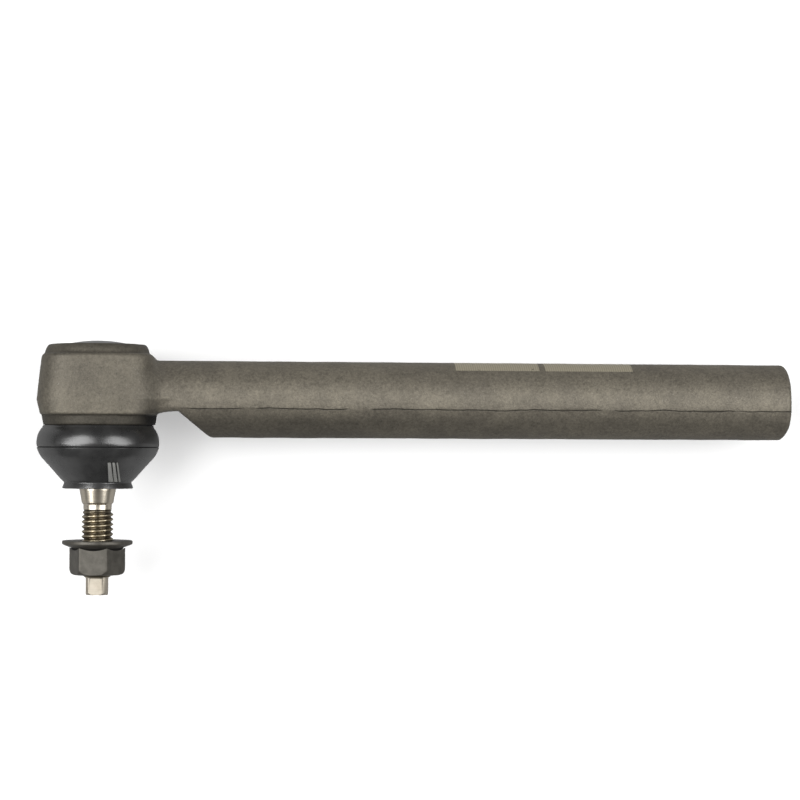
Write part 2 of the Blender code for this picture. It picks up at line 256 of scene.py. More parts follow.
def flowing_outline(points: Sequence[Span], steps: int) -> np.ndarray:
    """A smooth open outline through points, by Catmull-Rom.

    Between two points p1 and p2 it is p1 + t (p2 - p0) / 2 + t^2 (2 p0 - 5 p1 + 4 p2 - p3) / 2
    + t^3 (3 p1 - p0 - 3 p2 + p3) / 2, with the end points repeated.

    Args:
        points: (radius, height) of each point.
        steps: Pieces between two points.

    Returns:
        (n, 2) points of the outline.
    """
    p = np.array(points, float)
    p = np.vstack([2 * p[0] - p[1], p, 2 * p[-1] - p[-2]])
    p0, p1, p2, p3 = (p[k : len(p) - 3 + k, None] for k in range(4))
    t = np.linspace(0, 1, steps, endpoint=False)[None, :, None]
    curve = p1 + t * (p2 - p0) / 2 + t**2 * (2 * p0 - 5 * p1 + 4 * p2 - p3) / 2
    curve = curve + t**3 * (3 * p1 - p0 - 3 * p2 + p3) / 2
    return np.vstack([curve.reshape(-1, 2), p[-2]])


def thread_wave(height: np.ndarray, angle: np.ndarray, pitch: float) -> np.ndarray:
    """A right-hand thread's ridge, 0 at the root and 1 at the crest.

    The ridge is a triangle wave of height / pitch - angle / full turn, clipped to give the crest
    and the root their flats, and stretched back to run from 0 to 1.
    """
    root, crest = 0.1, 0.87
    phase = np.mod(height / pitch - angle / FULL_TURN, 1.0)
    ridge = 1.0 - np.abs(phase - 0.5) * 2.0
    return (ridge.clip(root, crest) - root) / (crest - root)


def smooth_min(a: np.ndarray, b: np.ndarray, reach: float) -> np.ndarray:
    """The lesser of two distances, rounded where they differ by under reach."""
    share = np.clip(0.5 + 0.5 * (b - a) / reach, 0.0, 1.0)
    return b + (a - b) * share - reach * share * (1.0 - share)


def smooth_max(a: np.ndarray, b: np.ndarray, reach: float) -> np.ndarray:
    """The greater of two distances, rounded where they differ by under reach."""
    return -smooth_min(-a, -b, reach)


# ---- Shader tools ----


class Value:
    """A shader socket in an expression: arithmetic on it adds Math nodes."""

    def __init__(self, graph: "Graph", socket: bpy.types.NodeSocket) -> None:
        """Keeps the socket and the graph that it belongs to."""
        self.graph = graph
        self.socket = socket

    def __add__(self, other: "Value | float") -> "Value":
        """self + other."""
        return self.graph.math("ADD", self, other)

    def __radd__(self, other: float) -> "Value":
        """other + self."""
        return self.graph.math("ADD", other, self)

    def __sub__(self, other: "Value | float") -> "Value":
        """self - other."""
        return self.graph.math("SUBTRACT", self, other)

    def __rsub__(self, other: float) -> "Value":
        """other - self."""
        return self.graph.math("SUBTRACT", other, self)

    def __mul__(self, other: "Value | float") -> "Value":
        """self * other."""
        return self.graph.math("MULTIPLY", self, other)

    def __rmul__(self, other: float) -> "Value":
        """other * self."""
        return self.graph.math("MULTIPLY", other, self)

    def __abs__(self) -> "Value":
        """The size of self."""
        return self.graph.math("ABSOLUTE", self)

    def rise(self, low: float, high: float) -> "Value":
        """0 below low, 1 above high and smooth between; it falls where low is above high."""
        settings = {"interpolation_type": "SMOOTHSTEP"}
        inputs = {"Value": self, "From Min": low, "From Max": high}
        return self.graph.node("ShaderNodeMapRange", settings, inputs, "Result")

    def rise_mm(self, low: float, high: float, origin: float = 0.0) -> "Value":
        """The same rise between two places in millimetres from an origin."""
        return self.rise((origin + low) * MM, (origin + high) * MM)

    def within_mm(self, low: float, high: float, edge: float, origin: float = 0.0) -> "Value":
        """1 between two places in millimetres from an origin and 0 outside, with a smooth edge."""
        into, out_of = (low - edge, low + edge), (high + edge, high - edge)
        return self.rise_mm(*into, origin) * self.rise_mm(*out_of, origin)


class Graph:
    """The node tree of one material, with a Principled shader."""

    def __init__(self, name: str, roughness: float, metallic: float, specular: float = 0.5) -> None:
        """Starts a material whose all-over values sit on the shader's own sockets."""
        self.material = bpy.data.materials.new(name)
        self.material.use_nodes = True
        self.tree = self.material.node_tree
        self.shader = self.tree.nodes["Principled BSDF"]
        self.shader.inputs["Roughness"].default_value = roughness
        self.shader.inputs["Metallic"].default_value = metallic
        self.shader.inputs["Specular IOR Level"].default_value = specular
        self.place = self.node("ShaderNodeTexCoord", {}, {}, "Object")

    def node(self, kind: str, settings: dict, inputs: dict, output: str | int = 0) -> Value:
        """Adds a node.

        Args:
            kind: The node's type.
            settings: Its properties, which are set first.
            inputs: Its sockets' values or links, by name or number.
            output: The output that the result wraps.

        Returns:
            The output, for use in expressions.
        """
        made = self.tree.nodes.new(kind)
        for name, setting in settings.items():
            setattr(made, name, setting)
        for name, given in inputs.items():
            if isinstance(given, Value):
                self.tree.links.new(given.socket, made.inputs[name])
            else:
                made.inputs[name].default_value = given
        return Value(self, made.outputs[output])

    def math(self, operation: str, *terms: Value | float) -> Value:
        """Adds a Math node on one to three terms."""
        return self.node("ShaderNodeMath", {"operation": operation}, dict(enumerate(terms)))

    def noise(
        self, size_mm: float, detail: float = 3.0, rough: float = 0.5, stretch: Colour = (1.0, 1.0, 1.0)
    ) -> Value:
        """Noise from 0 to 1 whose blots are about size_mm across, times stretch along each axis."""
        scale = tuple(1.0 / s for s in stretch)
        spot = self.node("ShaderNodeMapping", {}, {"Vector": self.place, "Scale": scale})
        inputs = {"Vector": spot, "Scale": 1.0 / (size_mm * MM), "Detail": detail, "Roughness": rough}
        return self.node("ShaderNodeTexNoise", {}, inputs, "Fac")

    def axes(self) -> tuple[Value, Value, Value]:
        """The place's three parts, in metres."""
        split = self.node("ShaderNodeSeparateXYZ", {}, {"Vector": self.place})
        outputs = split.socket.node.outputs
        return Value(self, outputs[0]), Value(self, outputs[1]), Value(self, outputs[2])

    def mix(self, share: Value | float, a: Value | Colour, b: Value | Colour) -> Value:
        """A colour share of the way from a to b."""
        made = self.tree.nodes.new("ShaderNodeMix")
        made.data_type = "RGBA"
        factor, first, second = made.inputs[0], made.inputs[6], made.inputs[7]
        for socket, given in ((factor, share), (first, a), (second, b)):
            if isinstance(given, Value):
                self.tree.links.new(given.socket, socket)
            else:
                socket.default_value = (*given, 1.0) if isinstance(given, tuple) else given
        return Value(self, made.outputs[2])

    def shade(self, colour: Value, amount: Value) -> Value:
        """A colour made darker or lighter by a factor."""
        return self.node("ShaderNodeVectorMath", {"operation": "SCALE"}, {0: colour, "Scale": amount})

    def bump(self, height: Value, depth_mm: float) -> None:
        """Feeds the shader's normal from a height of 0 to 1, depth_mm deep."""
        inputs = {"Height": height, "Distance": depth_mm * MM, "Strength": 1.0}
        self.feed("Normal", self.node("ShaderNodeBump", {}, inputs, "Normal"))

    def feed(self, socket: str, given: Value) -> None:
        """Links a value to one of the shader's sockets."""
        self.tree.links.new(given.socket, self.shader.inputs[socket])


# ---- Finishes ----


@dataclass(frozen=True)
class EtchedPatch:
    """A plain laser-etched patch that wraps over the top of the shank."""

    start: float
    end: float
    front_height: float = 11.9


@dataclass(frozen=True)
class ForgedSteel:
    """Dark phosphate over forging scale, with a parting line, two plain etched patches and painted shade on
    the housing and the shank's lower half.

    Each span is a fade, from 0 at its first place to 1 at its second. A reach is measured from
    the stud's axis and a height from the shank's. A depth is the share by which a place darkens.
    """

    light: Colour = (0.207, 0.186, 0.145)
    dark: Colour = (0.163, 0.146, 0.116)
    etched: Colour = (0.5, 0.45, 0.33)
    speck: Colour = (0.3, 0.285, 0.25)
    line_height: float = -3.9
    line_waver: float = 2.6
    line_edge: Span = (0.32, 0.1)
    line_start: Span = (33.0, 37.0)
    along_shank: Colour = (1.0, 90.0, 90.0)
    patches: tuple[EtchedPatch, ...] = (EtchedPatch(141.8, 175.4), EtchedPatch(177.9, 213.2))
    patch_edge: float = 0.12
    laser_pitch: float = 0.9
    # Painted shade on the housing: its collar under the shell, its corner under the neck and its top ring.
    bands_reach: Span = (24.5, 23.0)
    ring_height: Span = (17.0, 18.2)
    collar_height: Span = (-6.3, -6.9)
    corner_reach: Span = (14.0, 21.0)
    corner_height: Span = (-3.6, -5.6)
    # A darker housing, with painted shade at its outer side and under the parting line on the shank's lower
    # half.
    housing_reach: Span = (27.0, 20.0)
    outer_reach: Span = (-13.0, -22.0)
    below_line: Span = (-0.3, -6.0)
    shank_reach: Span = (60.0, 210.0)
    ring_depth: float = 0.6
    collar_depth: float = 1.15
    corner_depth: float = 0.8
    bands_depth: float = 0.5
    housing_depth: float = 0.2
    outer_depth: float = 0.16
    lower_depth: float = 0.42
    line_depth: float = 0.72

    def parting_line(self, g: Graph, x: Value, z: Value) -> Value:
        """1 on the thin wavering line that the dies leave along the shank, with gaps in it."""
        waver = (g.noise(22.0, 3.0, 0.6, self.along_shank) - 0.5) * (self.line_waver * MM)
        off = abs(z - self.line_height * MM - waver)
        strength = g.noise(14.0, 2.0, 0.5, self.along_shank).rise(0.36, 0.46)
        return off.rise_mm(*self.line_edge) * strength * x.rise_mm(*self.line_start, STUD_X)

    def etch(self, g: Graph, x: Value, z: Value) -> Value:
        """1 inside the etched patches, less in the gaps between the laser's passes."""
        inside: Value | float = 0.0
        for patch in self.patches:
            inside = x.within_mm(patch.start, patch.end, self.patch_edge, STUD_X) + inside
        passes = g.math("SINE", x * (FULL_TURN / (self.laser_pitch * MM))) * 0.22 + 0.78
        worn = g.noise(1.6, 2.0).rise(0.22, 0.34) * passes
        return inside * z.rise_mm(-0.1, 0.1, patch.front_height) * worn

    def painted_shade_bands(self, x: Value, z: Value) -> Value:
        """How much painted shade darkens the housing: its collar under the shell, its lower corner under
        the neck and its top ring.
        """
        housing = x.rise_mm(*self.bands_reach, STUD_X)
        ring = z.rise_mm(*self.ring_height) * self.ring_depth
        collar = z.rise_mm(*self.collar_height) * self.collar_depth
        corner = x.rise_mm(*self.corner_reach, STUD_X) * z.rise_mm(*self.corner_height)
        return (ring + collar + corner * self.corner_depth) * housing

    def tone_and_painted_shade_depth(self, x: Value, z: Value) -> Value:
        """How much the colour darkens: a little on the housing; more at its outer side, as painted shade
        for the side turned from the lights; and most under the parting line, as painted shade on the lower
        half that faces down, where it fades along the shank."""
        housing = x.rise_mm(*self.housing_reach, STUD_X)
        outer_side = x.rise_mm(*self.outer_reach, STUD_X)
        lower_half = z.rise_mm(*self.below_line, self.line_height)
        along = 1.0 - x.rise_mm(*self.shank_reach, STUD_X) * 0.45
        lower_half = lower_half * along * (1.0 - housing)
        return housing * self.housing_depth + outer_side * self.outer_depth + lower_half * self.lower_depth

    def material(self) -> bpy.types.Material:
        """Builds the finish: blotched scale, pits and specks, painted shade, line and etch."""
        g = Graph("forged_steel_finish", 0.55, 0.55)
        x, _, z = g.axes()
        blotch = g.noise(17.0, 4.0, 0.55)
        grain = g.noise(1.1, 4.0, 0.62)
        fine = g.noise(0.42, 2.0, 0.5)
        mottle = g.noise(4.6, 3.0, 0.6)
        colour = g.mix(blotch.rise(0.3, 0.72), self.dark, self.light)
        colour = g.shade(colour, (grain - 0.5) * 1.15 + (fine - 0.5) * 0.7 + (mottle - 0.5) * 0.5 + 0.98)
        specks = g.noise(0.7, 1.0, 0.4).rise(0.68, 0.78)
        colour = g.mix(specks * 0.3, colour, self.speck)
        # Painted shade on the housing's collar, lower corner and top ring.
        colour = g.shade(colour, 1.0 - self.painted_shade_bands(x, z) * self.bands_depth)
        # Darker housing; painted shade at the housing's outer side and on the shank's lower half.
        colour = g.shade(colour, 1.0 - self.tone_and_painted_shade_depth(x, z))
        line = self.parting_line(g, x, z)
        colour = g.shade(colour, 1.0 - line * self.line_depth)
        etch = self.etch(g, x, z)
        colour = g.mix(etch * 0.92, colour, self.etched)
        g.feed("Base Color", colour)
        g.feed("Roughness", 0.47 + grain * 0.2 - specks * 0.12 - etch * 0.1)
        g.bump(grain * 0.7 + fine * 0.4 + mottle * 0.4 - line * 0.9 - etch * 0.12, 0.2)
        return g.material


@dataclass(frozen=True)
class BrightSteel:
    """Ground and rolled steel: fine turning rings and a trace of oil."""

    light: Colour = (0.66, 0.6, 0.5)
    dark: Colour = (0.42, 0.36, 0.27)
    crest: Colour = (0.5, 0.44, 0.32)
    root: Colour = (0.1, 0.08, 0.05)
    thread_top: float = -43.9
    thread_foot: float = -70.6
    thread_edge: float = 0.2
    root_to_crest: Span = (5.45, 6.2)
    round_the_axis: Colour = (60.0, 60.0, 1.0)

    def material(self) -> bpy.types.Material:
        """Builds the finish: rings round the axis, faint stains, and a thread whose roots get painted
        shade.
        """
        g = Graph("stud_steel_finish", 0.24, 1.0)
        rings = g.noise(0.35, 2.0, 0.5, self.round_the_axis)
        stain = g.noise(4.5, 4.0, 0.6)
        colour = g.mix(stain.rise(0.48, 0.8) * 0.55, self.light, self.dark)
        x, y, z = g.axes()
        rolled = z.within_mm(self.thread_foot, self.thread_top, self.thread_edge)
        off = x - STUD_X * MM
        reach = g.math("SQRT", off * off + y * y)
        # Painted shade in the thread's roots: from crest to root the colour falls to near black.
        thread = g.mix(reach.rise_mm(*self.root_to_crest), self.root, self.crest)
        colour = g.mix(rolled * 0.9, colour, thread)
        tip = z.rise_mm(0.0, -0.5, self.thread_foot)
        g.feed("Base Color", g.shade(colour, (0.88 + rings * 0.2) * (1.0 - tip * 0.12)))
        g.feed("Roughness", 0.2 + rings * 0.1 + stain * 0.1 + rolled * 0.04 + tip * 0.16)
        g.bump(rings * 0.7 + g.noise(0.9, 2.0) * 0.3, 0.015)
        return g.material


@dataclass(frozen=True)
class BlackRubber:
    """Moulded black rubber with a satin skin and a little bloom."""

    name: str = "boot_rubber_finish"
    dark: Colour = (0.017, 0.017, 0.017)
    bloom: Colour = (0.044, 0.044, 0.043)
    dust: Colour = (0.2, 0.19, 0.18)

    def material(self) -> bpy.types.Material:
        """Builds the finish: faint grey bloom in broad blots, and a fine moulded grain."""
        g = Graph(self.name, 0.26, 0.0, 1.0)
        cloud = g.noise(7.0, 4.0, 0.6)
        grain = g.noise(0.5, 3.0, 0.6)
        dust = g.noise(0.9, 2.0, 0.5).rise(0.68, 0.8)
        colour = g.mix(cloud.rise(0.35, 0.75) * 0.6, self.dark, self.bloom)
        g.feed("Base Color", g.mix(dust * 0.18, colour, self.dust))
        g.feed("Roughness", 0.21 + cloud * 0.09 + grain * 0.06)
        g.bump(grain * 0.7 + cloud * 0.3, 0.03)
        return g.material


@dataclass(frozen=True)
class DarkPhosphate:
    """Oiled dark phosphate on machined steel."""

    light: Colour = (0.112, 0.104, 0.089)
    dark: Colour = (0.074, 0.069, 0.058)
    name: str = "nut_phosphate_finish"
    painted_shade_depth: float = 0.0
    painted_shade_top: float = -58.8

    def material(self) -> bpy.types.Material:
        """Builds the finish: crystal grain and handling marks, with painted shade below a height."""
        g = Graph(self.name, 0.42, 0.6)
        blot = g.noise(3.2, 4.0, 0.6)
        grain = g.noise(0.32, 3.0, 0.6)
        colour = g.mix(blot.rise(0.3, 0.7), self.dark, self.light)
        # Painted shade below a height: the washer's hub darkens where it sits in the gap over the nut.
        painted_shade_below = g.axes()[2].rise_mm(0.0, -0.3, self.painted_shade_top) * self.painted_shade_depth
        g.feed("Base Color", g.shade(colour, (0.72 + grain * 0.55) * (1.0 - painted_shade_below)))
        g.feed("Roughness", 0.34 + grain * 0.14 + blot * 0.1 + painted_shade_below * 0.4)
        g.bump(grain * 0.7 + blot * 0.5, 0.05)
        return g.material


@dataclass(frozen=True)
class SheetSteel:
    """Pressed sheet or spring steel: satin, with drawing marks."""

    name: str
    colour: Colour
    roughness: float = 0.36

    def material(self) -> bpy.types.Material:
        """Builds the finish: a tone that drifts, and faint marks."""
        g = Graph(self.name, self.roughness, 0.9)
        cloud = g.noise(5.0, 4.0, 0.6)
        marks = g.noise(0.6, 3.0, 0.6)
        flat = g.mix(cloud.rise(0.3, 0.75), tuple(0.7 * c for c in self.colour), self.colour)
        g.feed("Base Color", g.shade(flat, 0.85 + marks * 0.3))
        g.feed("Roughness", self.roughness - 0.06 + marks * 0.14)
        g.bump(marks, 0.02)
        return g.material


@dataclass(frozen=True)
class NaturalPolymer:
    """Natural acetal, slightly mottled and smooth."""

    colour: Colour = (0.78, 0.75, 0.66)

    def material(self) -> bpy.types.Material:
        """Builds the finish: soft mottling and a fine moulded skin."""
        g = Graph("liner_polymer_finish", 0.35, 0.0)
        cloud = g.noise(6.0, 3.0, 0.5)
        g.feed("Base Color", g.mix(cloud, tuple(0.86 * c for c in self.colour), self.colour))
        g.feed("Roughness", 0.3 + cloud * 0.12)
        g.bump(g.noise(0.6, 2.0), 0.01)
        return g.material


# ---- Sub-assemblies ----


def dress(piece: bpy.types.Object, finish: bpy.types.Material, body: Body, slot: Slot, *nodes: str) -> None:
    """Gives a piece its finish and its body, and hides the frame nodes that it stands for."""
    piece.data.materials.append(finish)
    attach(piece, body.value)
    if nodes:
        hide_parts(*nodes)
    LOG.info("%s: %d faces on %s", piece.name, len(piece.data.polygons), body.value)


def net_vertices(
    field_values: np.ndarray, axes: tuple[np.ndarray, np.ndarray, np.ndarray]
) -> tuple[np.ndarray, np.ndarray]:
    """One vertex in each grid cell that the surface passes through.

    A cell's vertex is the mean of the places where the surface crosses its twelve edges, each
    found by straight interpolation of the field along the edge.

    Args:
        field_values: The field on the grid, below 0 inside.
        axes: The grid's coordinates along x, y and z.

    Returns:
        The vertices, and an array that gives each cell's vertex number, or -1.
    """
    inside = field_values < 0
    count = np.zeros(tuple(n - 1 for n in field_values.shape), np.int8)
    corners = [(i, j, k) for i in (0, 1) for j in (0, 1) for k in (0, 1)]
    for i, j, k in corners:
        count += inside[i : i + count.shape[0], j : j + count.shape[1], k : k + count.shape[2]]
    cells = np.argwhere((count > 0) & (count < 8))
    total = np.zeros((len(cells), 3))
    crossings = np.zeros(len(cells))
    units = [(1, 0, 0), (0, 1, 0), (0, 0, 1)]
    steps = [(a, tuple(p + q for p, q in zip(a, unit))) for a in corners for unit in units]
    edges = [(a, b) for a, b in steps if max(b) == 1]
    for a, b in edges:
        first, second = cells + a, cells + b
        va, vb = field_values[tuple(first.T)], field_values[tuple(second.T)]
        crossed = (va < 0) != (vb < 0)
        share = np.where(crossed, va / np.where(crossed, va - vb, 1.0), 0.0)[:, None]
        pa = np.stack([axis[first[:, n]] for n, axis in enumerate(axes)], -1)
        pb = np.stack([axis[second[:, n]] for n, axis in enumerate(axes)], -1)
        total += np.where(crossed[:, None], pa + (pb - pa) * share, 0.0)
        crossings += crossed
    numbers = np.full(count.shape, -1, np.int64)
    numbers[tuple(cells.T)] = np.arange(len(cells))
    return total / crossings[:, None], numbers


def net_faces(inside: np.ndarray, numbers: np.ndarray) -> np.ndarray:
    """A quad across each grid edge that the surface crosses, joining the four cells round it."""
    blocks = []
    for axis in range(3):
        here = np.moveaxis(inside, axis, 0)
        cell = np.moveaxis(numbers, axis, 0)
        crossed = np.argwhere(here[:-1, 1:-1, 1:-1] != here[1:, 1:-1, 1:-1])
        i, j, k = crossed.T
        quad = np.stack([cell[i, j, k], cell[i, j + 1, k], cell[i, j + 1, k + 1], cell[i, j, k + 1]], -1)
        outward = here[i, j + 1, k + 1] ^ (axis == 1)
        quad[~outward] = quad[~outward][:, ::-1]
        blocks.append(quad)
    return np.vstack(blocks)


@dataclass
class Forging:
    """The forged body: ball housing, neck and shank in one piece, with a threaded socket."""

    shank_radius: float = 15.28
    lower_half_width: float = 14.62
    parting_height: float = -3.9
    neck_underside: float = -4.7
    neck_flat_end: float = 31.7
    neck_ramp_slope: float = 0.84
    neck_rounding: float = 0.9
    neck_dip: float = 1.2
    neck_dip_reach: Span = (23.0, 31.0)
    flatness_reach: Span = (40.0, 0.6 * END_REACH)
    housing_top: float = 21.4
    widest: float = 24.0
    shell_heights: Levels = (-6.5, -0.6, 17.1)
    shell_half_widths: Levels = (22.5, 24.0, 22.0)
    shell_half_depths: Levels = (23.3, 23.6, 22.6)
    shell_foot: float = -6.5
    shell_top: float = 17.5
    top_rounding: float = 1.5
    foot_rounding: float = 0.7
    shoulder_place: Span = (21.3, 17.6)
    shoulder_slope: float = 0.93
    shoulder_rounding: float = 0.8
    ring_heights: Levels = (18.3, 19.5, 21.4)
    ring_radii: Levels = (21.0, 20.7, 19.7)
    ring_inset: float = 0.9
    ring_rounding: float = 0.8
    ring_fillet: float = 1.2
    collar_heights: Span = (-10.5, -6.5)
    collar_radii: Span = (21.6, 22.3)
    collar_rounding: float = 0.5
    neck_pad: float = 0.95
    spigot_radius: float = 17.6
    spigot_foot: float = -13.5
    end_chamfer: float = 1.25
    end_draw: float = 0.35
    end_cut_height: float = 10.4
    end_cut_slope: float = 0.42
    end_rounding: float = 0.7
    fillet_heights: Levels = (-5.0, 0.0, 9.0, 14.0)
    fillet_radii: Levels = (1.0, 8.0, 8.0, 2.2)
    skin_waves: float = 0.03
    cavity_heights: Levels = (-14.5, -13.5, -6.8, -6.79, 20.5, 20.51, 22.4)
    cavity_radii: Levels = (15.6, 15.6, 13.2, 17.3, 17.3, 14.8, 14.8)
    socket_radius: float = 9.6
    socket_depth: float = 100.0
    socket_pitch: float = 25.4 / 16
    socket_minor: float = 8.7
    squareness: float = 3.8
    cell: float = 0.55
    long_cell: float = 1.3
    fine_reach: float = 48.0
    fine_end: float = 6.0
    margin: float = 1.2
    half_depth: float = 27.5
    off_centre: float = 0.013
    finish: ForgedSteel = field(default_factory=ForgedSteel)

    def shell(self, u: np.ndarray, y: np.ndarray, z: np.ndarray) -> np.ndarray:
        """Distance outside the housing.

        The shell is a superellipse of exponent squareness in plan, whose half-width and
        half-depth fall with draft from the parting line; a round ring stands on it, and a round
        collar and a spigot hang under it. The ring is drawn in and the collar pushed out a little
        on the neck's side, where a sloping shoulder cuts the shell's top corner.
        """
        n = self.squareness
        half = np.interp(z, self.shell_heights, self.shell_half_widths)
        deep = np.interp(z, self.shell_heights, self.shell_half_depths)
        plan = (np.abs(u) ** n + np.abs(y * half / deep) ** n) ** (1 / n)
        shell = smooth_max(plan - half, z - self.shell_top, self.top_rounding)
        shell = smooth_max(shell, self.shell_foot - z, self.foot_rounding)
        reach, height = self.shoulder_place
        shoulder = (z - height + self.shoulder_slope * (u - reach)) / 1.37
        shell = smooth_max(shell, shoulder, self.shoulder_rounding)
        neck_side = np.clip(u / 20.0, 0.0, 1.0)
        ring = np.hypot(u + self.ring_inset * neck_side, y)
        ring = ring - np.interp(z, self.ring_heights, self.ring_radii)
        ring = smooth_max(ring, np.maximum(z - self.housing_top, -z), self.ring_rounding)
        collar = np.hypot(u - self.neck_pad * neck_side, y)
        collar = collar - np.interp(z, self.collar_heights, self.collar_radii)
        collar = smooth_max(collar, np.maximum(z, self.collar_heights[0] - z), self.collar_rounding)
        below = np.maximum(z, self.spigot_foot - z)
        spigot = np.maximum(np.hypot(u, y) - self.spigot_radius, below)
        return np.minimum(np.minimum(smooth_min(shell, ring, self.ring_fillet), collar), spigot)

    def parting_step(self, u: np.ndarray) -> np.ndarray:
        """The height at which the lower die's half begins, wavering a little along the shank."""
        waver = 0.22 * np.sin(u / 9.1) + 0.16 * np.sin(u / 4.3 + 1.0) + 0.12 * np.sin(u / 23.0)
        return self.parting_height + waver

    def shank(self, u: np.ndarray, y: np.ndarray, z: np.ndarray) -> np.ndarray:
        """Distance outside the shank.

        Above the parting step its section is a circle. Below, the half-width is that of the
        lower die times sqrt(1 - a t - (1 - a) t^2), with t from 0 at the step to 1 at the bottom;
        a falls along the shank, so the lower half is flatter near the neck and rounder at the end.
        The neck's underside is flat, dips under the housing and ramps down to the shank. The end
        is a plane with a chamfer, and is cut away at a slant low down.
        """
        upper = np.hypot(y, z) - self.shank_radius
        step = self.parting_step(u)
        t = (step - z) / (self.shank_radius + step)
        a = np.interp(u, (*self.flatness_reach, END_REACH), (1.0, 0.8, 0.6))
        across = (y / self.lower_half_width) ** 2
        lower = np.sqrt(np.clip(across + a * t + (1.0 - a) * t * t, 1e-6, None)) - 1
        below = 1.0 / (1.0 + np.exp(np.clip((z - step) / 0.12, -40, 40)))
        side = upper + (lower * 12.0 - upper) * below
        flat = self.neck_underside - np.maximum(u - self.neck_flat_end, 0.0) * self.neck_ramp_slope
        near, far = self.neck_dip_reach
        flat = flat - self.neck_dip * np.clip((far - u) / (far - near), 0.0, 1.0) ** 2
        relief = (flat - z) / math.hypot(1.0, self.neck_ramp_slope)
        side = smooth_max(side, relief, self.neck_rounding)
        past = u - END_REACH
        cone = (upper + past + self.end_draw + self.end_chamfer) / math.sqrt(2.0)
        face = past + self.end_draw + 0.12 * np.sin(z / 3.4 + 0.8)
        cut = (past - (z + self.end_cut_height) * self.end_cut_slope) * 0.92
        end = smooth_max(smooth_max(cone, face, self.end_rounding), cut, self.end_rounding)
        return smooth_max(np.maximum(side, 5.0 - u), end, 0.6)

    def hollows(self, u: np.ndarray, y: np.ndarray, z: np.ndarray) -> np.ndarray:
        """Distance outside the two hollows: the turned cavity for the ball, and the socket."""
        cavity = np.hypot(u, y) - np.interp(z, self.cavity_heights, self.cavity_radii)
        cavity = np.maximum(cavity, self.spigot_foot - 2 - z)
        lead = np.clip(u - (END_REACH - 1.3), 0.0, 3.0)
        bore = np.hypot(y, z) - self.socket_radius - lead
        bore = np.maximum(bore, END_REACH - self.socket_depth - 2 - u)
        return np.minimum(cavity, bore)

    def surface(self, points: np.ndarray) -> np.ndarray:
        """The forging's field: below 0 in the steel, above 0 outside.

        The housing and the shank are joined with a fillet, small slow waves of the forged skin
        are added, and the hollows are cut out.
        """
        u, y, z = (points[..., n] for n in range(3))
        fillet = np.interp(z, self.fillet_heights, self.fillet_radii)
        body = smooth_min(self.shell(u, y, z), self.shank(u, y, z), fillet)
        waves = np.sin(u / 5.3 + z / 3.1) * np.sin(y / 4.1 + u / 11.0)
        waves = waves + np.sin(u / 2.9 + y / 2.3 + z / 3.7) * 0.6
        return np.maximum(body + self.skin_waves * waves, -self.hollows(u, y, z))

    def settle(self, points: np.ndarray) -> np.ndarray:
        """Moves each point on to the surface by three Newton steps along the field's slope."""
        step = 0.02
        for _ in range(3):
            value = self.surface(points)
            slope = np.stack([self.surface(points + step * unit) - value for unit in np.eye(3)], -1) / step
            size = np.clip((slope**2).sum(-1), 0.2, None)
            points = points - np.clip(value / size, -0.15, 0.15)[:, None] * slope
        return points

    def build_body(self) -> bpy.types.Object:
        """Makes the forging's skin from its field on a grid that is coarser along the shank."""
        fine_left = np.arange(-self.widest - self.margin, self.fine_reach, self.cell)
        fine_right = np.arange(END_REACH - self.fine_end, END_REACH + 1.4, self.cell)
        span = fine_right[0] - fine_left[-1]
        middle = np.linspace(fine_left[-1], fine_right[0], int(span / self.long_cell))
        along = np.concatenate([fine_left[:-1], middle, fine_right[1:]])
        across = np.arange(-self.half_depth, self.half_depth + 0.1, self.cell) + self.off_centre
        upright = np.arange(-self.shank_radius - 1.1, self.housing_top + self.margin, self.cell)
        grid = np.stack(np.meshgrid(along, across, upright, indexing="ij"), -1)
        values = self.surface(grid)
        points, numbers = net_vertices(values, (along, across, upright))
        faces = net_faces(values < 0, numbers)
        points = self.settle(points)
        return link_mesh("forging", points + (STUD_X, 0.0, 0.0), [faces], 50.0)

    def build_socket_thread(self) -> bpy.types.Object:
        """Makes the thread in the socket, a sleeve whose inner wall is a right-hand thread."""
        angle = turn_angles(64)[None]
        rows_per_pitch, start, gap = 9, 1.0, 0.08
        depth = np.arange(self.socket_depth, start, -self.socket_pitch / rows_per_pitch)[:, None]
        depth = np.maximum(depth, start + 0.05)
        major = self.socket_radius - gap
        ridge = thread_wave(-depth, angle, self.socket_pitch)
        fade = np.clip((depth - start) / self.socket_pitch, 0.0, 1.0)
        inner = major - (major - self.socket_minor) * ridge * fade
        outer = np.full((2, angle.shape[1]), self.socket_radius + 0.25)
        radius = np.vstack([inner, outer])
        reach = END_REACH - np.vstack([depth, depth[-1:], depth[:1]]) + 0.0 * angle
        grid = np.stack([STUD_X + reach, radius * np.cos(angle), radius * np.sin(angle)], -1)
        return skin("socket_thread", grid, True, 60.0)

    def build(self) -> None:
        """Builds and dresses the forging and its thread."""
        finish = self.finish.material()
        dress(self.build_body(), finish, Body.HOUSING, Slot.FORGED, "forged_body")
        thread = self.build_socket_thread()
        dress(thread, DarkPhosphate().material(), Body.HOUSING, Slot.FORGED)


